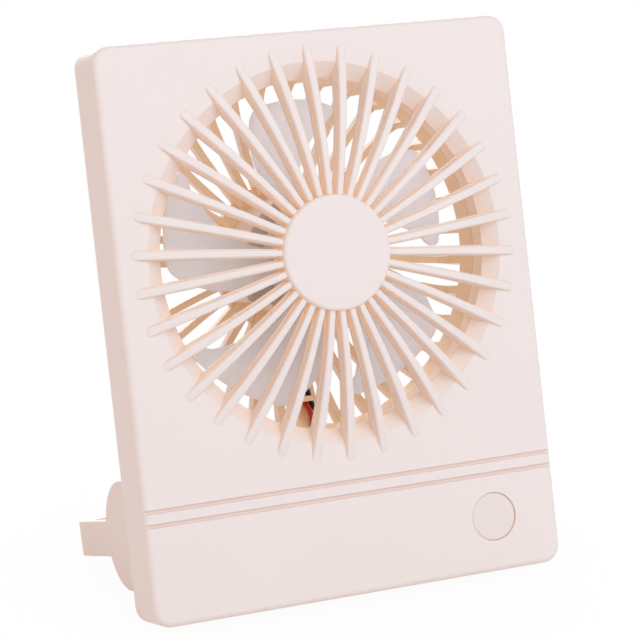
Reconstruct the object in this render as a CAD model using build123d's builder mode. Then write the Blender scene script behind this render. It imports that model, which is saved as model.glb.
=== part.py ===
# Pocket fan: a square case that leans back on a folding stand, with an arched front grille,
# a domed rear basket, a five-blade rotor and a round cell in a barrel behind the lower case.
# Millimetres. On the case, x runs across, height runs up its face and depth runs behind its face.
import math
import os

from build123d import *

# Case
case_width = 100.0
case_height = 126.4
case_depth = 13.2
corner_radius = 4.0
face_edge_radius = 1.4
heel_radius = 0.8
face_wall = 2.2
side_wall = 1.8
back_wall = 1.8
shell_gap = 0.15
lean_angle = 14.0
overrun = 1.0

# Air opening and duct
fan_height = 76.7
duct_radius = 39.1
duct_wall = 1.5
rim_radius = 42.6
seam_depth = 6.4
seam_gap = 0.15

# Front grille: ribs arch forward from the face to a raised hub
rib_count = 34
rib_tip_radius = 46.7
rib_tip_width = 2.1
rib_root_width = 1.45
rib_rise = 4.3
rib_crown_radius = 31.0
rib_crown_rise = 3.45
rib_thickness = 3.0
rib_seat_depth = 1.6
rib_edge_radius = 0.45
rib_step_width = 0.28
rib_step_height = 0.8
hub_radius = 12.9
hub_rise = 5.2
hub_wall = 1.6
hub_skirt_depth = 0.8
hub_edge_radius = 0.8

# Grooves across the lower face
groove_height = 25.5
groove_pitch = 3.1
groove_width = 0.85
groove_depth = 0.7

# Push button and its switch
button_inset = 16.2
button_height = 12.6
button_radius = 5.45
button_gap = 0.06
button_recess = 0.25
button_travel = 0.5
button_flange = 1.2
button_flange_thickness = 0.8
button_stem_radius = 1.8
button_edge_radius = 0.3
guide_wall = 1.2
guide_depth = 2.4
switch_size = 6.0
switch_height = 3.5
plunger_radius = 1.7
plunger_height = 0.8
plunger_seat = 0.6
plunger_gap = 0.06

# Rear basket
basket_rib_count = 35
basket_rib_width = 1.5
basket_rib_foot_width = 2.6
basket_thickness = 2.6
basket_shoulder_radius = 38.2
basket_shoulder_depth = 23.7
basket_crown_radius = 29.0
basket_crown_depth = 26.8
basket_depth = 28.6
basket_leg_depth = 19.4
basket_inner_leg_depth = 18.7
basket_inner_shoulder_radius = 36.9
basket_shoulder_bulge = 0.32
basket_foot_flare = 0.6
lead_rib_width = 5.6
motor_plate_radius = 17.2
motor_plate_wall = 2.2

# Motor
motor_radius = 12.2
motor_gap = 0.15
motor_seat_wall = 1.4
motor_front_depth = 15.0
end_cap_length = 2.2
bush_radius = 2.6
bush_length = 1.4
shaft_radius = 1.0
shaft_gap = 0.04
clamp_thickness = 1.1
clamp_hole_radius = 6.0
clamp_post_radius = 1.9
clamp_post_circle = 15.0
clamp_post_count = 3
lead_notch_width = 5.0
lead_notch_height = 3.6

# Rotor
blade_count = 5
rotor_radius = 35.1
rotor_hub_radius = 11.0
rotor_hub_wall = 1.3
rotor_hub_front_depth = 3.2
rotor_clearance = 0.9
rotor_boss_radius = 3.0
blade_thickness = 1.1
blade_horn_angle = 71.7
blade_sweep_angle = 62.0
blade_rear_depth = 16.0
blade_front_depth = 3.2
blade_edge_overlap_angle = 5.0

# Cell, its barrel and the stand
cell_radius = 9.2
cell_length = 65.0
tape_thickness = 0.4
tape_length = 40.0
tape_angle = 70.0
barrel_wall = 1.6
barrel_end_wall = 1.6
pivot_height = 18.2
cheek_radius = 12.5
cheek_gap = 0.6
cheek_thickness = 3.0
cell_end_room = 5.5
barrel_edge_radius = 0.8
stand_edge_radius = 0.4
stand_corner_radius = 0.8
arm_length = 32.0
arm_root_top = 3.6
arm_root_bottom = 4.75
arm_tip_height = 8.1
foot_bar_thickness = 2.6
pin_radius = 2.0
pin_gap = 0.05
pin_seat = 2.0
pin_tail = 3.0
washer_radius = 6.0
washer_thickness = 0.4
clip_radius = 4.2
clip_thickness = 0.6
clip_gap = 0.1

# Circuit board, chip and charging inlet
board_width = 27.6
board_bottom = 8.0
board_top = 28.0
board_thickness = 1.0
board_side_gap = 0.6
usb_width = 8.9
usb_height = 3.2
usb_length = 7.6
usb_wall = 0.3
usb_tongue_width = 6.7
usb_tongue_thickness = 0.7
usb_tongue_length = 5.6
usb_recess = 1.1
usb_centre_height = 22.0
usb_opening_gap = 0.2
chip_width = 5.0
chip_length = 4.0
chip_thickness = 1.5
chip_inset = 9.0
chip_height = 23.0

# Fasteners
case_screw_inset = 4.6
case_boss_radius = 2.8
case_screw_radius = 0.9
case_screw_length = 6.6
screw_head_radius = 1.9
screw_head_height = 1.0
screw_gap = 0.05
head_recess_gap = 0.2
board_post_radius = 2.2
board_screw_radius = 0.8
board_screw_length = 5.0
board_screw_head_radius = 1.6
board_post_inset = 3.4
board_post_heights = [11.4, 24.6]
clamp_screw_radius = 0.8
clamp_screw_length = 6.0
clamp_screw_head_radius = 1.6

# Leads, and the hook that holds the motor's pair on its rib
lead_radius = 0.6
lead_spacing = 1.5
lead_lift = 0.1
lead_bend = 2.6
lead_rib_bend = 4.0
lead_room = 0.4
lead_web_wall = 1.2
lead_turn_inset = 1.9
lead_board_inset = 7.5
hook_circle = 33.0
hook_size = 1.2
hook_reach = 3.8
cell_lead_height = 16.0
cell_lead_inset = 3.4
cell_lead_run = 4.4

# Where the case stands: its heel and the stand's foot bar both meet the table
lean = math.radians(lean_angle)
lean_sin = math.sin(lean)
lean_cos = math.cos(lean)
heel_height = (heel_radius - case_depth) * lean_sin + heel_radius * (lean_cos - 1)
pivot_depth = case_depth + cheek_gap + cheek_radius
pivot_lift = pivot_height * lean_cos - pivot_depth * lean_sin - heel_height
foot_reach = math.hypot(arm_length, arm_tip_height / 2)
foot_spread = math.atan2(arm_tip_height / 2, arm_length)
arm_dip = math.asin(pivot_lift / foot_reach) - foot_spread
arm_angle = lean_angle - math.degrees(arm_dip)
toe_y = face_edge_radius * (lean_cos + lean_sin - 1)
foot_y = pivot_depth * lean_cos + pivot_height * lean_sin + foot_reach * math.cos(arm_dip - foot_spread)
case_origin = Vector(0, -(toe_y + foot_y) / 2, -heel_height)

up = Vector(0, lean_sin, lean_cos)
back = Vector(0, lean_cos, -lean_sin)
across = Vector(1, 0, 0)
front = Plane(origin=case_origin, x_dir=across, z_dir=-back)
side = Plane(origin=case_origin, x_dir=back, z_dir=across)
fan_front = Plane(origin=case_origin + up * fan_height, x_dir=across, z_dir=-back)
fan_section = Plane(origin=fan_front.origin, x_dir=across, z_dir=up)
fan_axis = Axis(fan_front.origin, -back)
depth_axis = Axis(case_origin, back)


def at_depth(depth):
    return front.offset(-depth)


def fan_at(depth):
    return fan_front.offset(-depth)


def fan_plane(angle):
    # The half plane through the fan axis at an angle from x: its own x runs outward, its own y back.
    turn = math.radians(angle)
    outward = across * math.cos(turn) + up * math.sin(turn)
    return Plane(origin=fan_front.origin, x_dir=outward, z_dir=outward.cross(back))


def behind(depth):
    # A plane that faces back: its own y runs down the case.
    return Plane(origin=at_depth(depth).origin, x_dir=across, z_dir=back)


def case_point(x, height, depth):
    return front.from_local_coords(Vector(x, height, -depth))


def depth_of(shape):
    return -front.to_local_coords(shape.center()).Z


def bar_outline(inner_radius, inner_width, outer_radius, outer_width):
    # A bar along x that widens outward and ends in a half round.
    shoulder = outer_radius - outer_width / 2
    with BuildSketch() as bar:
        with BuildLine():
            Line((inner_radius, -inner_width / 2), (shoulder, -outer_width / 2))
            ThreePointArc((shoulder, -outer_width / 2), (outer_radius, 0), (shoulder, outer_width / 2))
            Polyline(
                (shoulder, outer_width / 2),
                (inner_radius, inner_width / 2),
                (inner_radius, -inner_width / 2),
            )
        make_face()
    return bar.sketch


def basket_bar_outline(inner_radius, outer_radius):
    # A straight bar along x whose foot flares past the basket's shoulder.
    with BuildSketch() as bar:
        with BuildLine():
            Polyline(
                (inner_radius, -basket_rib_width / 2),
                (basket_shoulder_radius, -basket_rib_width / 2),
                (outer_radius, -basket_rib_foot_width / 2),
                (outer_radius, basket_rib_foot_width / 2),
                (basket_shoulder_radius, basket_rib_width / 2),
                (inner_radius, basket_rib_width / 2),
                (inner_radius, -basket_rib_width / 2),
            )
        make_face()
    return bar.sketch


# Depths and places that follow from the sizes above
plate_front = case_depth - back_wall
board_right = case_width / 2 - side_wall - board_side_gap
board_left = board_right - board_width
button_x = case_width / 2 - button_inset
button_front = button_recess
flange_front = face_wall + button_gap
flange_back = flange_front + button_flange_thickness
plunger_front = flange_back + button_travel
switch_front = plunger_front + plunger_height
board_front = switch_front + switch_height
board_back = board_front + board_thickness
flange_radius = button_radius + button_flange
case_screw_places = [
    (side_sign * (case_width / 2 - case_screw_inset), height)
    for side_sign in (-1, 1)
    for height in (case_screw_inset, case_height - case_screw_inset)
]
board_post_places = [(board_left + board_post_inset, height) for height in board_post_heights]
basket_outer_radius = duct_radius + basket_thickness
barrel_radius = cell_radius + tape_thickness + barrel_wall
pin_inner = cell_length / 2 + cell_end_room
barrel_end = pin_inner + pin_tail + barrel_end_wall
stand_span = 2 * (barrel_end + washer_thickness + cheek_thickness)
motor_back = basket_depth - motor_plate_wall
motor_seat_radius = motor_radius + motor_gap
clamp_front = motor_front_depth - clamp_thickness
lead_lie = lead_radius + lead_lift
rotor_hub_back = clamp_front - bush_length - rotor_clearance
lead_start_depth = basket_depth - basket_thickness - 2 * lead_lie
lead_crown_depth = basket_crown_depth - basket_thickness - lead_lie
lead_shoulder_depth = basket_shoulder_depth - basket_thickness - lead_lie
lead_shoulder_radius = basket_inner_shoulder_radius - lead_lie
lead_slope = (lead_shoulder_depth - lead_crown_depth) / (lead_shoulder_radius - basket_crown_radius)
lead_leave_radius = hook_circle + hook_size
lead_leave_depth = lead_crown_depth + lead_slope * (lead_leave_radius - basket_crown_radius)
lead_drop_depth = basket_inner_leg_depth - lead_lie
lead_turn_height = pivot_height + barrel_radius - barrel_wall - lead_turn_inset
hook_outer = hook_circle + hook_size / 2
hook_back = lead_crown_depth + lead_slope * (hook_outer - basket_crown_radius) - lead_lie - lead_lift

# Front rib: one arched bar that widens outward, rounded along its top, to be repeated round the hub.
# Below the mould's parting line it is a little wider on both sides.
rib_inner = hub_radius - hub_wall / 2
under_rise = rib_rise - rib_thickness
under_crown_rise = rib_crown_rise - rib_thickness
with BuildPart() as rib_step:
    with BuildSketch(fan_plane(90)):
        with BuildLine():
            ThreePointArc(
                (rib_inner, -under_rise - rib_step_height),
                (rib_crown_radius, -under_crown_rise - rib_step_height),
                (duct_radius, rib_seat_depth - rib_step_height),
            )
            Polyline(
                (duct_radius, rib_seat_depth - rib_step_height),
                (rim_radius, rib_seat_depth - rib_step_height),
                (rim_radius, rib_seat_depth),
                (duct_radius, rib_seat_depth),
            )
            ThreePointArc(
                (duct_radius, rib_seat_depth),
                (rib_crown_radius, -under_crown_rise),
                (rib_inner, -under_rise),
            )
            Line((rib_inner, -under_rise), (rib_inner, -under_rise - rib_step_height))
        make_face()
    extrude(amount=rib_tip_width, both=True)
    with BuildSketch(fan_at(rib_seat_depth)):
        step_root_width = rib_root_width + 2 * rib_step_width
        step_tip_width = rib_tip_width + 2 * rib_step_width
        add(bar_outline(rib_inner, step_root_width, rib_tip_radius, step_tip_width), rotation=90)
    extrude(amount=rib_seat_depth + hub_rise, mode=Mode.INTERSECT)

with BuildPart() as front_rib:
    with BuildSketch(fan_plane(90)):
        with BuildLine():
            ThreePointArc((rib_inner, -rib_rise), (rib_crown_radius, -rib_crown_rise), (rib_tip_radius, 0))
            Polyline((rib_tip_radius, 0), (rib_tip_radius, rib_seat_depth), (duct_radius, rib_seat_depth))
            ThreePointArc(
                (duct_radius, rib_seat_depth),
                (rib_crown_radius, -under_crown_rise),
                (rib_inner, -under_rise),
            )
            Line((rib_inner, -under_rise), (rib_inner, -rib_rise))
        make_face()
    extrude(amount=rib_tip_width, both=True)
    with BuildSketch(fan_at(rib_seat_depth)):
        add(bar_outline(rib_inner, rib_root_width, rib_tip_radius, rib_tip_width), rotation=90)
    extrude(amount=rib_seat_depth + hub_rise, mode=Mode.INTERSECT)
    fillet(front_rib.faces().sort_by(depth_axis)[0].edges(), rib_edge_radius)
    add(rib_step.part)

# Front shell: face and side walls in one moulding with the grille
with BuildPart() as front_shell:
    with BuildSketch(front):
        with Locations((0, case_height / 2)):
            RectangleRounded(case_width, case_height, corner_radius)
    extrude(amount=-case_depth)
    fillet(front_shell.faces().sort_by(depth_axis)[0].edges(), face_edge_radius)
    fillet(front_shell.faces().sort_by(depth_axis)[-1].edges(), heel_radius)
    with BuildSketch(at_depth(face_wall)):
        with Locations((0, case_height / 2)):
            inner_width = case_width - 2 * side_wall
            inner_height = case_height - 2 * side_wall
            RectangleRounded(inner_width, inner_height, corner_radius - side_wall)
    extrude(amount=-case_depth, mode=Mode.SUBTRACT)
    with BuildSketch(fan_at(face_wall)):
        Circle(duct_radius + duct_wall)
    extrude(amount=face_wall - seam_depth)
    with BuildSketch(at_depth(face_wall)):
        with Locations(*case_screw_places):
            Circle(case_boss_radius)
    extrude(amount=face_wall - plate_front)
    with BuildSketch(at_depth(face_wall)):
        with Locations(*board_post_places):
            Circle(board_post_radius)
    extrude(amount=face_wall - board_front)
    with BuildSketch(at_depth(face_wall)):
        with Locations((button_x, button_height)):
            Circle(flange_radius + button_gap + guide_wall)
            Circle(flange_radius + button_gap, mode=Mode.SUBTRACT)
    extrude(amount=-guide_depth)
    with BuildSketch(fan_section):
        with BuildLine():
            Polyline(
                (0, -overrun),
                (rim_radius, -overrun),
                (rim_radius, 0),
                (duct_radius, face_wall),
                (duct_radius, seam_depth + overrun),
                (0, seam_depth + overrun),
                (0, -overrun),
            )
        make_face()
    revolve(axis=fan_axis, mode=Mode.SUBTRACT)
    with BuildSketch(front):
        with Locations((0, groove_height), (0, groove_height - groove_pitch)):
            Rectangle(case_width + 2 * overrun, groove_width)
    extrude(amount=-groove_depth, mode=Mode.SUBTRACT)
    with BuildSketch(front):
        with Locations((button_x, button_height)):
            Circle(button_radius + button_gap)
    extrude(amount=-face_wall, mode=Mode.SUBTRACT)
    with BuildSketch(at_depth(plate_front)):
        with Locations(*case_screw_places):
            Circle(case_screw_radius + screw_gap)
    extrude(amount=case_screw_length, mode=Mode.SUBTRACT)
    with BuildSketch(at_depth(board_front)):
        with Locations(*board_post_places):
            Circle(board_screw_radius + screw_gap)
    extrude(amount=board_screw_length, mode=Mode.SUBTRACT)
    with BuildSketch(side.offset(case_width / 2 + overrun)):
        with Locations((board_front - usb_height / 2, usb_centre_height)):
            SlotOverall(usb_width + 2 * usb_opening_gap, usb_height + 2 * usb_opening_gap, rotation=90)
    extrude(amount=-(side_wall + 2 * overrun), mode=Mode.SUBTRACT)
    with BuildSketch(fan_section):
        with BuildLine():
            Line((0, -hub_rise), (hub_radius - hub_edge_radius, -hub_rise))
            RadiusArc(
                (hub_radius - hub_edge_radius, -hub_rise),
                (hub_radius, hub_edge_radius - hub_rise),
                -hub_edge_radius,
            )
            Polyline(
                (hub_radius, hub_edge_radius - hub_rise),
                (hub_radius, hub_skirt_depth),
                (hub_radius - hub_wall, hub_skirt_depth),
                (hub_radius - hub_wall, hub_wall - hub_rise),
                (0, hub_wall - hub_rise),
                (0, -hub_rise),
            )
        make_face()
    revolve(axis=fan_axis)
    add([front_rib.part.rotate(fan_axis, 360 * index / rib_count) for index in range(rib_count)])

# Rear basket ribs: radial bars cut out of one domed ring, one wide bar at the bottom for the leads
with BuildPart() as basket_ribs:
    inner_plate = motor_plate_radius - motor_plate_wall
    with BuildSketch(fan_section):
        with BuildLine():
            ThreePointArc(
                (inner_plate, basket_depth),
                (basket_crown_radius, basket_crown_depth),
                (basket_shoulder_radius, basket_shoulder_depth),
            )
            ThreePointArc(
                (basket_shoulder_radius, basket_shoulder_depth),
                (
                    (basket_shoulder_radius + basket_outer_radius) / 2 + basket_shoulder_bulge,
                    (basket_shoulder_depth + basket_leg_depth) / 2 + basket_shoulder_bulge,
                ),
                (basket_outer_radius, basket_leg_depth),
            )
            Polyline(
                (basket_outer_radius, basket_leg_depth),
                (basket_outer_radius + basket_foot_flare, plate_front),
                (duct_radius, plate_front),
                (duct_radius, basket_inner_leg_depth),
                (basket_inner_shoulder_radius, basket_shoulder_depth - basket_thickness),
            )
            ThreePointArc(
                (basket_inner_shoulder_radius, basket_shoulder_depth - basket_thickness),
                (basket_crown_radius, basket_crown_depth - basket_thickness),
                (inner_plate, basket_depth - basket_thickness),
            )
            Line((inner_plate, basket_depth - basket_thickness), (inner_plate, basket_depth))
        make_face()
    revolve(axis=fan_axis)
    bar_end = basket_outer_radius + basket_foot_flare + overrun
    with BuildSketch(fan_at(plate_front)):
        with PolarLocations(0, basket_rib_count, start_angle=-90):
            add(basket_bar_outline(inner_plate, bar_end))
        with Locations((0, -(inner_plate + bar_end) / 2)):
            Rectangle(lead_rib_width, bar_end - inner_plate)
    extrude(amount=-basket_depth, mode=Mode.INTERSECT)
    with BuildSketch(fan_at(lead_crown_depth)):
        with Locations(((hook_size - lead_rib_width) / 2, -hook_circle)):
            Rectangle(hook_size, hook_size)
    extrude(amount=lead_crown_depth - hook_back)
    with BuildSketch(fan_at(hook_back)):
        with Locations((-lead_rib_width / 2, -hook_circle - hook_size / 2)):
            SlotOverall(hook_reach, hook_size, align=(Align.MIN, Align.MIN))
    extrude(amount=hook_size)

# Rear cover: back plate, duct, basket, motor seat and cell barrel in one moulding. A web with a slot
# takes the motor's leads from the basket's foot down into the barrel.
with BuildPart() as rear_cover:
    cover_inset = side_wall + shell_gap
    with BuildSketch(at_depth(plate_front)):
        with Locations((0, case_height / 2)):
            cover_width = case_width - 2 * cover_inset
            cover_height = case_height - 2 * cover_inset
            RectangleRounded(cover_width, cover_height, corner_radius - cover_inset)
    extrude(amount=-back_wall)
    with BuildSketch(fan_at(seam_depth + seam_gap)):
        Circle(duct_radius + duct_wall)
    extrude(amount=seam_depth + seam_gap - plate_front)
    with BuildSketch(fan_at(seam_depth)):
        Circle(duct_radius)
    extrude(amount=-case_depth, mode=Mode.SUBTRACT)
    with BuildSketch(side.offset(-barrel_end)):
        with Locations((pivot_depth, pivot_height)):
            Circle(barrel_radius)
        with Locations(((plate_front + pivot_depth) / 2, pivot_height)):
            Rectangle(pivot_depth - plate_front, 2 * barrel_radius)
    extrude(amount=2 * barrel_end)
    for barrel_face in rear_cover.faces().filter_by(Plane.YZ).sort_by(lambda face: -face.area)[:2]:
        rim = barrel_face.edges().filter_by(lambda edge: depth_of(edge) > case_depth + shell_gap)
        fillet(rim, barrel_edge_radius)
    with BuildSketch(side.offset(barrel_end_wall - barrel_end)):
        with Locations((pivot_depth, pivot_height)):
            Circle(barrel_radius - barrel_wall)
        with Locations(((plate_front - overrun + pivot_depth) / 2, pivot_height)):
            Rectangle(pivot_depth - plate_front + overrun, 2 * (barrel_radius - barrel_wall))
    extrude(amount=2 * (barrel_end - barrel_end_wall), mode=Mode.SUBTRACT)
    with BuildSketch(side.offset(-barrel_end - overrun)):
        with Locations((pivot_depth, pivot_height)):
            Circle(pin_radius + pin_gap)
    extrude(amount=2 * (barrel_end + overrun), mode=Mode.SUBTRACT)
    with BuildSketch(fan_at(basket_depth)):
        Circle(motor_plate_radius)
    extrude(amount=motor_plate_wall)
    with BuildSketch(fan_at(motor_back)):
        Circle(motor_seat_radius + motor_seat_wall)
        with PolarLocations(clamp_post_circle, clamp_post_count, start_angle=90):
            Circle(clamp_post_radius)
        Circle(motor_seat_radius, mode=Mode.SUBTRACT)
        with PolarLocations(clamp_post_circle, clamp_post_count, start_angle=90):
            Circle(clamp_screw_radius + screw_gap, mode=Mode.SUBTRACT)
    extrude(amount=motor_back - motor_front_depth)
    with BuildSketch(fan_at(motor_back)):
        with Locations((0, -motor_seat_radius - motor_seat_wall / 2)):
            Rectangle(lead_notch_width, 2 * motor_seat_wall)
    extrude(amount=lead_notch_height, mode=Mode.SUBTRACT)
    with BuildSketch(at_depth(case_depth)):
        with Locations(*case_screw_places):
            Circle(screw_head_radius + head_recess_gap)
    extrude(amount=screw_head_height, mode=Mode.SUBTRACT)
    with BuildSketch(at_depth(case_depth)):
        with Locations(*case_screw_places):
            Circle(case_screw_radius + head_recess_gap)
    extrude(amount=back_wall, mode=Mode.SUBTRACT)
    web_bottom = pivot_height + barrel_radius - barrel_wall / 2
    web_top = fan_height - duct_radius - basket_thickness / 2
    with BuildSketch(at_depth(plate_front)):
        with Locations((0, (web_bottom + web_top) / 2)):
            Rectangle(lead_rib_width, web_top - web_bottom)
    extrude(amount=plate_front - lead_drop_depth - lead_radius - lead_room - lead_web_wall)
    add(basket_ribs.part)
    with BuildSketch(Plane(case_point(0, web_bottom - barrel_wall, lead_drop_depth), across, up)):
        SlotOverall(lead_spacing + 2 * (lead_radius + lead_room), 2 * (lead_radius + lead_room))
    extrude(amount=fan_height - duct_radius + overrun - web_bottom + barrel_wall, mode=Mode.SUBTRACT)

# Rotor: a cup hub with swept blades, each cut from a helical sheet
blade_leading_shares = [(0.31, 0.36), (0.66, 0.195), (0.77, 0.105), (0.875, 0.03)]
blade_horn_shares = [(0.925, -0.025), (0.965, -0.035), (0.995, 0.0)]
blade_outer_shares = (1.0, 0.28)
blade_trailing_shares = [(1.0, 0.55), (0.975, 0.61), (0.88, 0.69), (0.76, 0.775), (0.61, 0.84), (0.31, 0.97)]


def blade_depth(sweep_share):
    return blade_rear_depth + sweep_share * (blade_front_depth - blade_rear_depth)


def blade_point(radius_share, sweep_share):
    turn = math.radians(blade_horn_angle + sweep_share * blade_sweep_angle)
    return (radius_share * rotor_radius * math.cos(turn), radius_share * rotor_radius * math.sin(turn))


with BuildPart() as blade:
    section_count = 7
    root_radius = rotor_hub_radius - rotor_hub_wall / 2
    lap_share = blade_edge_overlap_angle / blade_sweep_angle
    for index in range(section_count):
        sweep_share = -lap_share + (1 + 2 * lap_share) * index / (section_count - 1)
        with BuildSketch(fan_plane(blade_horn_angle + sweep_share * blade_sweep_angle)):
            with Locations(((root_radius + rotor_radius + overrun) / 2, blade_depth(sweep_share))):
                Rectangle(rotor_radius + overrun - root_radius, blade_thickness)
    loft()
    with BuildSketch(fan_at(blade_front_depth - 2 * overrun)):
        with BuildLine():
            leading = Spline([blade_point(*shares) for shares in blade_leading_shares])
            horn = Spline([leading @ 1] + [blade_point(*shares) for shares in blade_horn_shares])
            ThreePointArc(horn @ 1, blade_point(*blade_outer_shares), blade_point(*blade_trailing_shares[0]))
            trailing = Spline([blade_point(*shares) for shares in blade_trailing_shares])
            Line(trailing @ 1, leading @ 0)
        make_face()
    extrude(amount=-(blade_rear_depth + 2 * overrun), mode=Mode.INTERSECT)

with BuildPart() as fan_rotor:
    with BuildSketch(fan_section):
        with BuildLine():
            Polyline(
                (shaft_radius, rotor_hub_front_depth),
                (rotor_hub_radius, rotor_hub_front_depth),
                (rotor_hub_radius, rotor_hub_back),
                (rotor_hub_radius - rotor_hub_wall, rotor_hub_back),
                (rotor_hub_radius - rotor_hub_wall, rotor_hub_front_depth + rotor_hub_wall),
                (rotor_boss_radius, rotor_hub_front_depth + rotor_hub_wall),
                (rotor_boss_radius, rotor_hub_back),
                (shaft_radius, rotor_hub_back),
                (shaft_radius, rotor_hub_front_depth),
            )
        make_face()
    revolve(axis=fan_axis)
    add([blade.part.rotate(fan_axis, 360 * index / blade_count) for index in range(blade_count)])

# Motor
with BuildPart() as motor_can:
    with BuildSketch(fan_at(motor_front_depth)):
        Circle(motor_radius)
        Circle(bush_radius, mode=Mode.SUBTRACT)
    extrude(amount=motor_front_depth + end_cap_length - motor_back)

with BuildPart() as motor_end_cap:
    with BuildSketch(fan_at(motor_back)):
        Circle(motor_radius)
        Circle(bush_radius, mode=Mode.SUBTRACT)
    extrude(amount=end_cap_length)

with BuildPart() as motor_bush:
    with BuildSketch(fan_at(clamp_front - bush_length)):
        Circle(bush_radius)
        Circle(shaft_radius + shaft_gap, mode=Mode.SUBTRACT)
    extrude(amount=clamp_front - bush_length - motor_back)

with BuildPart() as motor_shaft:
    with BuildSketch(fan_at(rotor_hub_front_depth)):
        Circle(shaft_radius)
    extrude(amount=rotor_hub_front_depth - motor_back + shaft_gap)

with BuildPart() as motor_clamp:
    with BuildSketch(fan_at(motor_front_depth)):
        Circle(motor_seat_radius + motor_seat_wall)
        with PolarLocations(clamp_post_circle, clamp_post_count, start_angle=90):
            Circle(clamp_post_radius)
        Circle(clamp_hole_radius, mode=Mode.SUBTRACT)
        with PolarLocations(clamp_post_circle, clamp_post_count, start_angle=90):
            Circle(clamp_screw_radius + screw_gap, mode=Mode.SUBTRACT)
    extrude(amount=clamp_thickness)


def screw_set(plane, places, shank_radius, shank_length, head_radius, head_height):
    # Cheese-head screws whose heads sit on the plane and stand along its normal.
    with BuildPart() as screws:
        with BuildSketch(plane):
            with Locations(*places):
                Circle(head_radius)
        extrude(amount=head_height)
        with BuildSketch(plane):
            with Locations(*places):
                Circle(shank_radius)
        extrude(amount=-shank_length)
    return screws


clamp_turns = [math.radians(90 + 360 * index / clamp_post_count) for index in range(clamp_post_count)]
clamp_screws = screw_set(
    fan_at(clamp_front),
    [(clamp_post_circle * math.cos(turn), clamp_post_circle * math.sin(turn)) for turn in clamp_turns],
    clamp_screw_radius,
    clamp_screw_length,
    clamp_screw_head_radius,
    screw_head_height,
)

# Button, switch, board, chip and charging inlet
with BuildPart() as button_cap:
    with BuildSketch(at_depth(button_front)):
        with Locations((button_x, button_height)):
            Circle(button_radius)
    extrude(amount=button_front - flange_front)
    fillet(button_cap.edges().sort_by(depth_axis)[0], button_edge_radius)
    with BuildSketch(at_depth(flange_front)):
        with Locations((button_x, button_height)):
            Circle(flange_radius)
    extrude(amount=-button_flange_thickness)
    with BuildSketch(at_depth(flange_back)):
        with Locations((button_x, button_height)):
            Circle(button_stem_radius)
    extrude(amount=flange_back - plunger_front)

with BuildPart() as switch_plunger:
    with BuildSketch(at_depth(plunger_front)):
        with Locations((button_x, button_height)):
            Circle(plunger_radius)
    extrude(amount=-(plunger_height + plunger_seat))

with BuildPart() as switch_body:
    with BuildSketch(at_depth(switch_front)):
        with Locations((button_x, button_height)):
            Rectangle(switch_size, switch_size)
    extrude(amount=-switch_height)
    with BuildSketch(at_depth(switch_front)):
        with Locations((button_x, button_height)):
            Circle(plunger_radius + plunger_gap)
    extrude(amount=-(plunger_seat + 2 * button_travel), mode=Mode.SUBTRACT)

with BuildPart() as circuit_board:
    with BuildSketch(at_depth(board_front)):
        with Locations(((board_left + board_right) / 2, (board_bottom + board_top) / 2)):
            Rectangle(board_right - board_left, board_top - board_bottom)
        with Locations(*board_post_places):
            Circle(board_screw_radius + screw_gap, mode=Mode.SUBTRACT)
    extrude(amount=-board_thickness)

board_screws = screw_set(
    behind(board_back),
    [(x, -height) for x, height in board_post_places],
    board_screw_radius,
    board_screw_length,
    board_screw_head_radius,
    screw_head_height,
)

case_screws = screw_set(
    behind(case_depth - screw_head_height),
    [(x, -height) for x, height in case_screw_places],
    case_screw_radius,
    case_screw_length,
    screw_head_radius,
    screw_head_height,
)

with BuildPart() as control_chip:
    with BuildSketch(at_depth(board_front)):
        with Locations((board_left + chip_inset, chip_height)):
            Rectangle(chip_width, chip_length)
    extrude(amount=chip_thickness)

usb_mouth = side.offset(case_width / 2 - usb_recess)
usb_centre = (board_front - usb_height / 2, usb_centre_height)
with BuildPart() as usb_socket:
    with BuildSketch(usb_mouth):
        with Locations(usb_centre):
            SlotOverall(usb_width, usb_height, rotation=90)
    extrude(amount=-usb_length)
    with BuildSketch(usb_mouth):
        with Locations(usb_centre):
            SlotOverall(usb_width - 2 * usb_wall, usb_height - 2 * usb_wall, rotation=90)
    extrude(amount=usb_wall - usb_length, mode=Mode.SUBTRACT)

with BuildPart() as usb_tongue:
    with BuildSketch(usb_mouth.offset(usb_wall - usb_length)):
        with Locations(usb_centre):
            Rectangle(usb_tongue_thickness, usb_tongue_width)
    extrude(amount=usb_tongue_length)

# Cell and its tape
with BuildPart() as battery_cell:
    with BuildSketch(side.offset(-cell_length / 2)):
        with Locations((pivot_depth, pivot_height)):
            Circle(cell_radius)
    extrude(amount=cell_length)

with BuildPart() as battery_tape:
    with BuildSketch(side.offset(-tape_length / 2)):
        with BuildLine():
            CenterArc((pivot_depth, pivot_height), cell_radius + tape_thickness, -tape_angle / 2, tape_angle)
            CenterArc((pivot_depth, pivot_height), cell_radius, -tape_angle / 2, tape_angle)
            half = math.radians(tape_angle / 2)
            for turn in (-half, half):
                edge_way = Vector(math.cos(turn), math.sin(turn))
                cell_centre = Vector(pivot_depth, pivot_height)
                tape_outer = cell_radius + tape_thickness
                Line(cell_centre + edge_way * cell_radius, cell_centre + edge_way * tape_outer)
        make_face()
    extrude(amount=tape_length)

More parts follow.
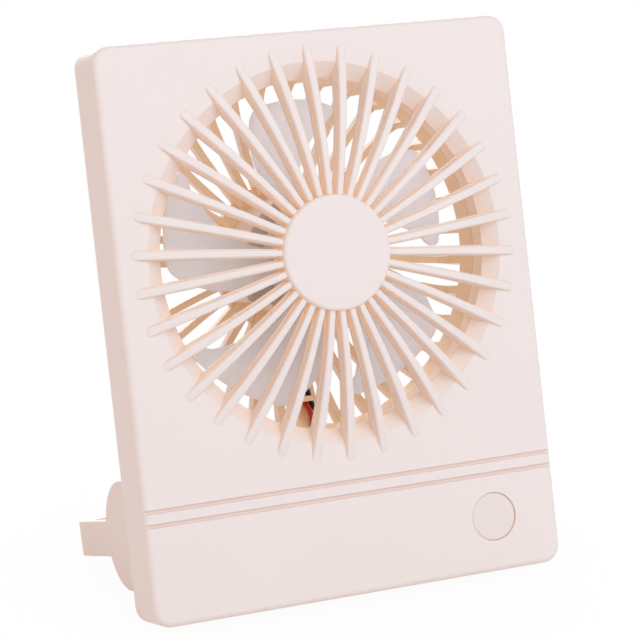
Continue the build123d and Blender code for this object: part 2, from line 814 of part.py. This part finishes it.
# Stand: round cheeks, tapered arms and a foot bar in one moulding, turning on two pins
arm_turn = math.radians(arm_angle)
arm_direction = back * math.cos(arm_turn) + up * math.sin(arm_turn)
arm_plane = Plane(origin=case_point(0, pivot_height, pivot_depth), x_dir=arm_direction, z_dir=across)
with BuildPart() as stand:
    with BuildSketch(arm_plane.offset(-stand_span / 2)) as stand_outline:
        Circle(cheek_radius)
        with BuildLine():
            Polyline(
                (0, -arm_root_bottom),
                (arm_length, -arm_tip_height / 2),
                (arm_length, arm_tip_height / 2),
                (0, arm_root_top),
                (0, -arm_root_bottom),
            )
        make_face()
        inner_corners = stand_outline.vertices().sort_by_distance((0, 0, 0))[:2]
        fillet(inner_corners, stand_corner_radius)
    extrude(amount=stand_span)
    for cheek_face in stand.faces().filter_by(Plane.YZ):
        fillet(cheek_face.edges(), stand_edge_radius)
    with BuildSketch(arm_plane.offset(cheek_thickness - stand_span / 2)):
        with Locations(((arm_length - foot_bar_thickness) / 2 - cheek_radius, 0)):
            Rectangle(arm_length - foot_bar_thickness + 2 * cheek_radius, 2 * (cheek_radius + overrun))
    extrude(amount=stand_span - 2 * cheek_thickness, mode=Mode.SUBTRACT)
    with BuildSketch(arm_plane.offset(cheek_thickness - pin_seat - stand_span / 2)):
        Circle(pin_radius)
    extrude(amount=stand_span - 2 * (cheek_thickness - pin_seat), mode=Mode.SUBTRACT)

pin_outer = stand_span / 2 - cheek_thickness + pin_seat
with BuildPart() as hinge_pins:
    for start, length in ((-pin_outer, pin_outer - pin_inner), (pin_inner, pin_outer - pin_inner)):
        with BuildSketch(arm_plane.offset(start)):
            Circle(pin_radius)
        extrude(amount=length)

with BuildPart() as friction_washers:
    for start in (-barrel_end - washer_thickness, barrel_end):
        with BuildSketch(arm_plane.offset(start)):
            Circle(washer_radius)
            Circle(pin_radius + pin_gap, mode=Mode.SUBTRACT)
        extrude(amount=washer_thickness)

clip_outer = barrel_end - barrel_end_wall - clip_gap
with BuildPart() as hinge_clips:
    for start in (-clip_outer, clip_outer - clip_thickness):
        with BuildSketch(arm_plane.offset(start)):
            Circle(clip_radius)
            Circle(pin_radius, mode=Mode.SUBTRACT)
        extrude(amount=clip_thickness)


# Leads: straight runs joined by tangent arcs
def lead(points, bends):
    with BuildPart() as tube:
        with BuildLine() as route:
            FilletPolyline(*points, radius=bends)
        with BuildSketch(Plane(origin=route.line @ 0, z_dir=route.line % 0)):
            Circle(lead_radius)
        sweep()
    print("lead length", round(route.wires()[0].length, 1), "diameter", 2 * lead_radius, "bends", bends)
    return tube


def motor_lead(x, turn_height, board_x):
    # From the motor's end cap along the wide rear rib, down the web into the barrel, then to the board.
    points = [
        case_point(x, fan_height - motor_radius, lead_start_depth),
        case_point(x, fan_height - motor_plate_radius, lead_start_depth),
        case_point(x, fan_height - basket_crown_radius, lead_crown_depth),
        case_point(x, fan_height - lead_leave_radius, lead_leave_depth),
        case_point(x, fan_height - lead_shoulder_radius, lead_drop_depth),
        case_point(x, turn_height, lead_drop_depth),
        case_point(board_x, turn_height, lead_drop_depth),
        case_point(board_x, turn_height, board_back),
    ]
    return lead(points, [lead_rib_bend] * 4 + [lead_bend, lead_rib_bend])


lead_board_x = board_left + lead_board_inset
motor_lead_red = motor_lead(-lead_spacing / 2, lead_turn_height - lead_spacing, lead_board_x)
motor_lead_black = motor_lead(lead_spacing / 2, lead_turn_height, lead_board_x + lead_spacing)

# The cell's leads leave its end faces and run to the board's back
cell_lead_depth = pivot_depth - cell_radius + cell_lead_inset
cell_lead_out = cell_length / 2 + cell_lead_run
cell_front_run = pivot_depth - cell_radius - cell_lead_inset
battery_lead_red = lead(
    [
        case_point(cell_length / 2, cell_lead_height, cell_lead_depth),
        case_point(cell_lead_out, cell_lead_height, cell_lead_depth),
        case_point(cell_lead_out, cell_lead_height, board_back),
    ],
    [lead_bend],
)
battery_lead_black = lead(
    [
        case_point(-cell_length / 2, cell_lead_height, cell_lead_depth),
        case_point(-cell_lead_out, cell_lead_height, cell_lead_depth),
        case_point(-cell_lead_out, cell_lead_height, cell_front_run),
        case_point(board_left + 2 * cell_lead_run, cell_lead_height, cell_front_run),
        case_point(board_left + 2 * cell_lead_run, cell_lead_height, board_back),
    ],
    [lead_bend, lead_bend, lead_bend],
)

pieces = {
    "front_shell": front_shell,
    "rear_cover": rear_cover,
    "fan_rotor": fan_rotor,
    "motor_can": motor_can,
    "motor_end_cap": motor_end_cap,
    "motor_bush": motor_bush,
    "motor_shaft": motor_shaft,
    "motor_clamp": motor_clamp,
    "clamp_screws": clamp_screws,
    "motor_lead_red": motor_lead_red,
    "motor_lead_black": motor_lead_black,
    "button_cap": button_cap,
    "switch_plunger": switch_plunger,
    "switch_body": switch_body,
    "circuit_board": circuit_board,
    "board_screws": board_screws,
    "control_chip": control_chip,
    "usb_socket": usb_socket,
    "usb_tongue": usb_tongue,
    "battery_cell": battery_cell,
    "battery_tape": battery_tape,
    "battery_lead_red": battery_lead_red,
    "battery_lead_black": battery_lead_black,
    "stand": stand,
    "hinge_pins": hinge_pins,
    "friction_washers": friction_washers,
    "hinge_clips": hinge_clips,
    "case_screws": case_screws,
}

os.makedirs("parts", exist_ok=True)
for name, piece in pieces.items():
    piece.part.label = name
    export_step(piece.part, f"parts/{name}.step")
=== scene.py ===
import math

import bpy
import numpy as np
from mathutils import Matrix, Vector


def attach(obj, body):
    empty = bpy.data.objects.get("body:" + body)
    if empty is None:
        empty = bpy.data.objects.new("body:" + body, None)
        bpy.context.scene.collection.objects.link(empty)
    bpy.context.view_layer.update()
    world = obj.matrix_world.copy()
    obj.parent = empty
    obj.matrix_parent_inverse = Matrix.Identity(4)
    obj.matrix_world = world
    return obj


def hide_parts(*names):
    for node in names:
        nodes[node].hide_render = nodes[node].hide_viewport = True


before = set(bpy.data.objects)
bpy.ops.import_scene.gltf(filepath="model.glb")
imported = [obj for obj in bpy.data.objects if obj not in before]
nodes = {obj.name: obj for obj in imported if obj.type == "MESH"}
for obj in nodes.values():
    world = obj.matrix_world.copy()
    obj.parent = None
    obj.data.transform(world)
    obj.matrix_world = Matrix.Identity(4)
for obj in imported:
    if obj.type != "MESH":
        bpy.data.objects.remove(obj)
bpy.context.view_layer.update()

print("frame loaded:", len(nodes), "nodes")

# The case leans back: its own upward and backward ways
caseLean = math.radians(14)
caseUp = (0.0, math.sin(caseLean), math.cos(caseLean))
caseBack = (0.0, math.cos(caseLean), -math.sin(caseLean))


class Wire:
    # One shader socket. Sums of wires and numbers add Math nodes.
    def __init__(self, finish, socket):
        self.finish = finish
        self.socket = socket

    def sum(self, operation, left, right):
        return self.finish.node("ShaderNodeMath", {"operation": operation}, {0: left, 1: right})

    def __add__(self, other):
        return self.sum("ADD", self, other)

    def __sub__(self, other):
        return self.sum("SUBTRACT", self, other)

    def __mul__(self, other):
        return self.sum("MULTIPLY", self, other)

    def __radd__(self, other):
        return self.sum("ADD", other, self)

    def __rsub__(self, other):
        return self.sum("SUBTRACT", other, self)

    def __rmul__(self, other):
        return self.sum("MULTIPLY", other, self)


class Finish:
    # A material's node tree, built from one generic method.
    def __init__(self, name):
        self.material = bpy.data.materials.new(name)
        self.material.use_nodes = True
        self.tree = self.material.node_tree
        self.tree.nodes.clear()

    def node(self, kind, settings=None, inputs=None, output=0):
        made = self.tree.nodes.new(kind)
        for key, value in (settings or {}).items():
            if key == "stops":
                ramp = made.color_ramp.elements
                for stop, (place, colour) in zip((ramp[0], ramp[1]), value):
                    stop.position = place
                    stop.color = (*colour, 1)
            else:
                setattr(made, key, value)
        for key, value in (inputs or {}).items():
            if isinstance(value, Wire):
                self.tree.links.new(value.socket, made.inputs[key])
            else:
                made.inputs[key].default_value = value
        return Wire(self, made.outputs[output])

    def shade(self, wire):
        out = self.tree.nodes.new("ShaderNodeOutputMaterial")
        self.tree.links.new(wire.socket, out.inputs["Surface"])
        return self.material


def tinted(colour, shares):
    return tuple(value * share for value, share in zip(colour, shares))


def blend(finish, share, first, second):
    # The first colour at share 0 and the second at share 1.
    ends = [end if isinstance(end, Wire) else (*end, 1) for end in (first, second)]
    return finish.node("ShaderNodeMix", {"data_type": "RGBA"}, {0: share, 6: ends[0], 7: ends[1]}, 2)


fine = dict(
    cloudDetail=3.0, cloudLow=0.3, cloudHigh=0.7, noiseMiddle=0.5, grainDetail=2.0, grainDepth=0.0001,
    openSamples=8, edgeSamples=4, plasticIor=1.5,
)


def objectPlace(finish):
    return finish.node("ShaderNodeTexCoord", output="Object")


def noise(finish, place, scale, detail):
    return finish.node("ShaderNodeTexNoise", {}, {"Vector": place, "Scale": scale, "Detail": detail})


def vectorMath(finish, operation, *values, output="Vector"):
    return finish.node("ShaderNodeVectorMath", {"operation": operation}, dict(enumerate(values)), output)


def eased(finish, value, low, high):
    # 0 at low and 1 at high, with a smooth cubic between them.
    return finish.node(
        "ShaderNodeMapRange", {"interpolation_type": "SMOOTHSTEP"},
        {"Value": value, "From Min": low, "From Max": high},
    )


def opennessWithin(finish, reach):
    # 1 in the open and 0 where everything within reach is hidden.
    return finish.node(
        "ShaderNodeAmbientOcclusion", {"samples": fine["openSamples"]}, {"Distance": reach}, "AO"
    )


def cloudySkin(finish, place, look):
    # The colour and the roughness, both stirred a little by one soft noise.
    cloud = noise(finish, place, look["cloudScale"], fine["cloudDetail"])
    darker = tinted(look["colour"], (1 - look["cloud"],) * 3)
    stops = [(fine["cloudLow"], darker), (fine["cloudHigh"], look["colour"])]
    skin = finish.node("ShaderNodeValToRGB", {"stops": stops}, {"Fac": cloud})
    return skin, look["rough"] + (cloud - fine["noiseMiddle"]) * look["roughCloud"]


def grilleShade(finish, place, look):
    # Mask of the painted shade and painted emission: 0 on the face and 1 deep between the ribs or on what
    # looks inward, faded out beyond the ribs' tips.
    openness = opennessWithin(finish, look["glowReach"])
    centred = vectorMath(finish, "SUBTRACT", place, look["fanCentre"])
    depth = vectorMath(finish, "DOT_PRODUCT", centred, caseBack, output="Value")
    aside = vectorMath(finish, "CROSS_PRODUCT", centred, caseBack)
    radius = vectorMath(finish, "LENGTH", aside, output="Value")
    normal = finish.node("ShaderNodeTexCoord", output="Normal")
    inward = vectorMath(finish, "SUBTRACT", look["fanMiddle"], place)
    facing = vectorMath(finish, "DOT_PRODUCT", normal, inward, output="Value")
    behindFace = eased(finish, depth, 0.0, look["insideDepth"])
    inDuct = eased(finish, radius, look["ductEnd"], look["ductRadius"])
    inside = behindFace * inDuct * eased(finish, facing, 0.0, look["facingFull"])
    deep = eased(finish, openness, look["glowOpen"], look["glowDeep"])
    nearRibs = eased(finish, radius, look["tipEnd"], look["tipRadius"])
    return nearRibs * deep.sum("MAXIMUM", deep, inside)


def plasticFinish(name, look):
    # Moulded plastic: a faint cloud in the colour and gloss, a fine spark-eroded grain, and edges
    # softened as the mould was. Hollows get painted shade, a deeper and warmer colour, and a faint painted
    # emission in place of light bouncing about in them; the thin grille ribs get more of both.
    finish = Finish(name)
    place = objectPlace(finish)
    skin, rough = cloudySkin(finish, place, look)
    grain = noise(finish, place, look["grainScale"], fine["grainDetail"])
    # Painted shade: the colour turns deeper and warmer where nearby surfaces hide the open air.
    openness = opennessWithin(finish, look["creviceReach"])
    colour = blend(finish, openness, tinted(look["colour"], look["paintedCreviceShade"]), skin)
    # Painted light: a faint emission that grows in hollows, as though light bounced about in them.
    hidden = 1 - openness
    paintedGlow = blend(finish, hidden * hidden, (0, 0, 0), look["paintedCreviceGlow"])
    # In the grille, painted shade deepens and warms the colour further, and a stronger painted emission
    # makes the ribs seem to shine from within.
    if "paintedGrilleGlow" in look:
        shade = grilleShade(finish, place, look)
        colour = blend(finish, shade, colour, tinted(look["colour"], look["paintedGrilleShade"]))
        paintedGlow = blend(finish, shade, paintedGlow, look["paintedGrilleGlow"])
    edge = finish.node("ShaderNodeBevel", {"samples": fine["edgeSamples"]}, {"Radius": look["edge"]})
    bump = finish.node(
        "ShaderNodeBump", {},
        {"Strength": look["grain"], "Distance": fine["grainDepth"], "Height": grain, "Normal": edge},
    )
    return finish.shade(finish.node(
        "ShaderNodeBsdfPrincipled",
        {},
        {
            "Base Color": colour,
            "Roughness": rough,
            "Normal": bump,
            "IOR": fine["plasticIor"],
            "Specular IOR Level": look["gloss"],
            "Emission Color": paintedGlow,
            "Emission Strength": 1.0,
        },
    ))


# Painted shade and painted light for hollows: a tint that deepens the colour there, and an emission colour
# that makes them shine faintly.
blush = dict(
    colour=(0.885, 0.79, 0.755), cloud=0.012, cloudScale=60.0, grain=0.12, grainScale=2600.0,
    rough=0.46, roughCloud=0.06, edge=0.0003, gloss=0.4, paintedCreviceShade=(1.0, 0.91, 0.84), creviceReach=0.008,
    paintedCreviceGlow=(0.08, 0.05, 0.035),
)
# The grille's tint and emission colours are painted shade and painted light.
shellBlush = dict(
    blush, paintedGrilleGlow=(0.095, 0.07, 0.045), paintedGrilleShade=(1.04, 0.92, 0.79), glowReach=0.02,
    glowOpen=0.72, glowDeep=0.25, insideDepth=0.004, ductRadius=0.0394, ductEnd=0.0398, tipRadius=0.0475,
    tipEnd=0.05, fanCentre=(0.0, -0.012333, 0.077446), fanMiddle=(0.0, -0.00263, 0.075027), facingFull=0.008,
)
# A milder painted shade and painted light inside the rear cover's grille.
coverBlush = dict(
    shellBlush, colour=(0.88, 0.77, 0.72), paintedGrilleGlow=(0.07, 0.04, 0.01), paintedGrilleShade=(1.03, 0.89, 0.69),
)
standBlush = dict(blush, colour=(0.87, 0.77, 0.725), rough=0.5)
buttonBlush = dict(blush, colour=(0.855, 0.755, 0.715), rough=0.42)
clampBlush = dict(blush, colour=(0.7, 0.58, 0.52))
# A grey painted shade in hollows, and no painted emission.
blackPlastic = dict(
    blush, colour=(0.02, 0.02, 0.021), rough=0.5, paintedCreviceShade=(0.8, 0.8, 0.8), creviceReach=0.002,
    paintedCreviceGlow=(0.0, 0.0, 0.0),
)
switchGrey = dict(blackPlastic, colour=(0.12, 0.12, 0.125))
boardGreen = dict(blackPlastic, colour=(0.02, 0.16, 0.06), rough=0.35)
sleeveBlue = dict(blackPlastic, colour=(0.04, 0.16, 0.4), rough=0.3)
paperTape = dict(blackPlastic, colour=(0.62, 0.53, 0.33), rough=0.75, grain=0.4)
washerWhite = dict(blackPlastic, colour=(0.7, 0.7, 0.67), rough=0.6)
leadRed = dict(blackPlastic, colour=(0.55, 0.02, 0.015), rough=0.4)
leadBlack = dict(blackPlastic, colour=(0.012, 0.012, 0.013), rough=0.4)


def milkyFinish(name, look):
    # Milky moulded blades: light scatters through them, and a blurred share of it passes straight.
    finish = Finish(name)
    colour, rough = cloudySkin(finish, objectPlace(finish), look)
    skin = finish.node(
        "ShaderNodeBsdfPrincipled",
        {},
        {
            "Base Color": colour,
            "Roughness": rough,
            "IOR": look["ior"],
            "Transmission Weight": look["through"],
        },
    )
    scatter = finish.node("ShaderNodeBsdfTranslucent", {}, {"Color": colour})
    return finish.shade(finish.node("ShaderNodeMixShader", {}, {0: look["scatter"], 1: skin, 2: scatter}))


milkyBlades = dict(
    colour=(0.93, 0.945, 0.985), cloud=0.02, cloudScale=90.0, rough=0.35, roughCloud=0.08,
    ior=1.2, through=0.15, scatter=0.5,
)


def metalFinish(name, look):
    # Plated or drawn metal: streaks along one axis in the gloss.
    finish = Finish(name)
    drawn = finish.node("ShaderNodeMapping", {}, {"Vector": objectPlace(finish), "Scale": look["streak"]})
    streaks = noise(finish, drawn, look["streakScale"], fine["grainDetail"])
    rough = look["rough"] + (streaks - fine["noiseMiddle"]) * look["roughStreak"]
    return finish.shade(finish.node(
        "ShaderNodeBsdfPrincipled",
        {},
        {"Base Color": (*look["colour"], 1), "Roughness": rough, "Metallic": 1.0},
    ))


platedSteel = dict(
    colour=(0.62, 0.62, 0.64), rough=0.3, roughStreak=0.15, streak=(1, 1, 8), streakScale=300.0,
)
brightSteel = dict(platedSteel, colour=(0.72, 0.72, 0.74), rough=0.22)
bushBrass = dict(platedSteel, colour=(0.75, 0.56, 0.25), rough=0.35)

plasticPieces = {
    "shellBlush": (shellBlush, ["front_shell"]),
    "coverBlush": (coverBlush, ["rear_cover"]),
    "standBlush": (standBlush, ["stand"]),
    "buttonBlush": (buttonBlush, ["button_cap"]),
    "clampBlush": (clampBlush, ["motor_clamp"]),
    "blackPlastic": (blackPlastic, ["motor_end_cap", "switch_plunger", "control_chip"]),
    "switchGrey": (switchGrey, ["switch_body"]),
    "boardGreen": (boardGreen, ["circuit_board"]),
    "sleeveBlue": (sleeveBlue, ["battery_cell"]),
    "paperTape": (paperTape, ["battery_tape"]),
    "washerWhite": (washerWhite, ["friction_washers"]),
    "leadRed": (leadRed, ["motor_lead_red", "battery_lead_red"]),
    "leadBlack": (leadBlack, ["motor_lead_black", "battery_lead_black"]),
}
metalPieces = {
    "platedSteel": (platedSteel, ["motor_can", "clamp_screws", "board_screws", "case_screws"]),
    "brightSteel": (brightSteel, ["motor_shaft", "usb_socket", "hinge_pins", "hinge_clips"]),
    "bushBrass": (bushBrass, ["motor_bush"]),
}


def wear(material, names):
    for name in names:
        nodes[name].data.materials.clear()
        nodes[name].data.materials.append(material)


def contactFinish(name, look):
    # The inlet's tongue: black plastic with plated strips side by side up the case.
    finish = Finish(name)
    height = vectorMath(finish, "DOT_PRODUCT", objectPlace(finish), caseUp, output="Value")
    pitches = height * (1 / look["pitch"])
    strip = pitches.sum("FRACT", pitches, 0.0)
    mask = strip.sum("GREATER_THAN", strip, look["gap"])
    colour = blend(finish, mask, look["plastic"], look["plating"])
    rough = look["plasticRough"] - (look["plasticRough"] - look["platingRough"]) * mask
    return finish.shade(finish.node(
        "ShaderNodeBsdfPrincipled", {}, {"Base Color": colour, "Metallic": mask, "Roughness": rough}
    ))


inletContacts = dict(
    pitch=0.00055, gap=0.4, plastic=(0.02, 0.02, 0.021), plating=(0.83, 0.62, 0.28),
    plasticRough=0.5, platingRough=0.25,
)

for name, (look, names) in plasticPieces.items():
    wear(plasticFinish(name, look), names)
for name, (look, names) in metalPieces.items():
    wear(metalFinish(name, look), names)
wear(milkyFinish("milkyBlades", milkyBlades), ["fan_rotor"])
wear(contactFinish("inletContacts", inletContacts), ["usb_tongue"])
print("finishes on", sum(1 for piece in nodes.values() if piece.data.materials), "nodes")

# Case screws with a cross recess, in place of the plain solids
crossScrew = dict(
    headRadius=0.0019, headHeight=0.001, rimRound=0.0003, shankRadius=0.0009, shankLength=0.0066,
    crossWidth=0.0006, crossReach=0.00125, crossDepth=0.00055, crossSoft=0.00012, topRings=36, rimRings=6,
    columns=96, across=0.0454, heights=(0.0046, 0.1218), seatDepth=0.0122,
    caseOrigin=(0.0, -0.030888, 0.003024),
)


def softStep(value, edge, width):
    # 1 well below the edge, 0 well above it, with a smooth cubic between.
    share = np.clip((value - edge) / width + 0.5, 0, 1)
    return 1 - share * share * (3 - 2 * share)


def crossScrewMesh(size):
    # A turned profile: radius and height run from the middle of the head over its rounded rim, down its
    # side, in under it and down the shank. Two crossed bars are pressed into the flat of the head.
    flat = size["headRadius"] - size["rimRound"]
    turn = np.linspace(0, math.pi / 2, size["rimRings"])
    radius = np.concatenate([
        np.linspace(flat / size["topRings"], flat, size["topRings"]),
        flat + size["rimRound"] * np.sin(turn),
        [size["headRadius"], size["shankRadius"], size["shankRadius"]],
    ])
    height = np.concatenate([
        np.full(size["topRings"], size["headHeight"]),
        size["headHeight"] - size["rimRound"] * (1 - np.cos(turn)),
        [0, 0, -size["shankLength"]],
    ])
    angle = np.linspace(0, 2 * math.pi, size["columns"], endpoint=False)
    sideways = radius[:, None] * np.cos(angle)
    upward = radius[:, None] * np.sin(angle)
    bars = [
        softStep(np.abs(narrow), size["crossWidth"] / 2, size["crossSoft"])
        * softStep(np.abs(along), size["crossReach"], size["crossSoft"])
        for narrow, along in ((sideways, upward), (upward, sideways))
    ]
    onTop = (np.arange(len(radius)) < size["topRings"])[:, None]
    outward = height[:, None] - onTop * size["crossDepth"] * np.maximum(*bars)
    rings = np.stack([sideways, upward, outward], -1).reshape(-1, 3)
    middle = [[0, 0, size["headHeight"] - size["crossDepth"]], [0, 0, -size["shankLength"]]]
    points = np.concatenate([rings, middle])
    rows, columns = len(radius), size["columns"]
    ring = np.arange(rows - 1)[:, None] * columns
    here, there = np.arange(columns), (np.arange(columns) + 1) % columns
    corners = [ring + here, ring + columns + here, ring + columns + there, ring + there]
    quads = np.stack(corners, -1).reshape(-1, 4)
    top = np.stack([np.full(columns, rows * columns), here, there], -1)
    last = (rows - 1) * columns
    tip = np.stack([np.full(columns, rows * columns + 1), last + there, last + here], -1)
    return points, quads.tolist() + top.tolist() + tip.tolist()


points, faces = crossScrewMesh(crossScrew)
# Turned so that the head's outward way is the case's back
turned = points @ np.array([(-1.0, 0.0, 0.0), caseUp, caseBack])
screwPoints, screwFaces = [], []
for x in (-crossScrew["across"], crossScrew["across"]):
    for height in crossScrew["heights"]:
        raised = np.array(caseUp) * height + np.array(caseBack) * crossScrew["seatDepth"]
        seat = np.array(crossScrew["caseOrigin"]) + raised + np.array([x, 0, 0])
        screwFaces += [[corner + len(points) * len(screwPoints) for corner in face] for face in faces]
        screwPoints.append(seat + turned)
screwMesh = bpy.data.meshes.new("crossScrews")
screwMesh.from_pydata(np.concatenate(screwPoints).tolist(), [], screwFaces)
screwMesh.polygons.foreach_set("use_smooth", np.ones(len(screwMesh.polygons), dtype=bool))
screwMesh.materials.append(nodes["case_screws"].data.materials[0])
screws = bpy.data.objects.new("crossScrews", screwMesh)
bpy.context.collection.objects.link(screws)
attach(screws, "case")
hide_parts("case_screws")
print("case screws:", len(screwMesh.polygons), "faces")

# A white floor with a faint shadow near the object, and soft light from the front, the left and behind
studio = dict(
    floorSize=6.0, floorTone=0.86, shadowShare=0.05, shadowNear=0.04, shadowFar=0.09,
    worldTone=(0.55, 0.505, 0.475), aim=(0.0, 0.0, 0.06),
)


def whiteShare(finish):
    # 1 for what the camera, a mirror or a clear piece sees directly.
    kinds = ("Is Camera Ray", "Is Glossy Ray", "Is Transmission Ray")
    camera, mirror, clear = (finish.node("ShaderNodeLightPath", output=kind) for kind in kinds)
    seen = camera + mirror + clear
    return seen.sum("MINIMUM", seen, 1.0)


def floorFinish():
    finish = Finish("whiteFloor")
    tone = (studio["floorTone"],) * 3
    matt = finish.node("ShaderNodeBsdfDiffuse", {}, {"Color": (*tone, 1)})
    white = finish.node("ShaderNodeEmission", {}, {"Color": (1, 1, 1, 1), "Strength": 1.0})
    distance = vectorMath(finish, "LENGTH", objectPlace(finish), output="Value")
    near = eased(finish, distance, studio["shadowFar"], studio["shadowNear"])
    share = whiteShare(finish) * (1 - studio["shadowShare"] * near)
    return finish.shade(finish.node("ShaderNodeMixShader", {}, {0: share, 1: matt, 2: white}))


half = studio["floorSize"] / 2
floorMesh = bpy.data.meshes.new("floor")
floorCorners = [(-half, -half, 0), (half, -half, 0), (half, half, 0), (-half, half, 0)]
floorMesh.from_pydata(floorCorners, [], [(0, 1, 2, 3)])
floorMesh.materials.append(floorFinish())
floor = bpy.data.objects.new("floor", floorMesh)
bpy.context.collection.objects.link(floor)

world = bpy.data.worlds.new("studio")
bpy.context.scene.world = world
world.use_nodes = True


class WorldFinish(Finish):
    def __init__(self, worldData):
        self.tree = worldData.node_tree
        self.tree.nodes.clear()

    def shade(self, wire):
        out = self.tree.nodes.new("ShaderNodeOutputWorld")
        self.tree.links.new(wire.socket, out.inputs["Surface"])


sky = WorldFinish(world)
ambient = sky.node("ShaderNodeBackground", {}, {"Color": (*studio["worldTone"], 1), "Strength": 1.0})
white = sky.node("ShaderNodeBackground", {}, {"Color": (1, 1, 1, 1), "Strength": 1.0})
sky.shade(sky.node("ShaderNodeMixShader", {}, {0: whiteShare(sky), 1: ambient, 2: white}))

lamps = [
    dict(name="keyLamp", place=(0.25, -1.0, 0.8), size=1.2, power=9.0, colour=(0.775, 0.88, 0.99)),
    dict(name="fillLamp", place=(-1.2, -0.05, 0.35), size=1.0, power=2.7, colour=(1.0, 0.61, 0.47)),
    dict(name="backLamp", place=(0.35, 1.3, 0.45), size=1.0, power=12.0, colour=(0.9, 0.95, 1.0)),
]
for lamp in lamps:
    data = bpy.data.lights.new(lamp["name"], "AREA")
    data.shape = "SQUARE"
    data.size = lamp["size"]
    data.energy = lamp["power"]
    data.color = lamp["colour"]
    made = bpy.data.objects.new(lamp["name"], data)
    made.location = lamp["place"]
    made.rotation_mode = "QUATERNION"
    made.rotation_quaternion = (Vector(studio["aim"]) - Vector(lamp["place"])).to_track_quat("-Z", "Y")
    bpy.context.collection.objects.link(made)

shot = dict(
    place=(-0.23881087, -0.53573129, 0.219108), target=(0.00324168, 0.0, 0.05858235),
    roll=-0.5444365, lens=150.056, sensor=36.0, clipStart=0.01, clipEnd=20.0,
)
lensData = bpy.data.cameras.new("photoCamera")
lensData.lens = shot["lens"]
lensData.sensor_fit = "HORIZONTAL"
lensData.sensor_width = shot["sensor"]
lensData.clip_start = shot["clipStart"]
lensData.clip_end = shot["clipEnd"]
camera = bpy.data.objects.new("photoCamera", lensData)
looking = (Vector(shot["target"]) - Vector(shot["place"])).to_track_quat("-Z", "Y").to_matrix()
camera.rotation_mode = "QUATERNION"
rolled = looking @ Matrix.Rotation(math.radians(shot["roll"]), 3, "Z")
camera.rotation_quaternion = rolled.to_quaternion()
camera.location = shot["place"]
bpy.context.collection.objects.link(camera)
bpy.context.scene.camera = camera
bpy.context.scene.view_settings.view_transform = "Standard"
print("stage, light and camera set")
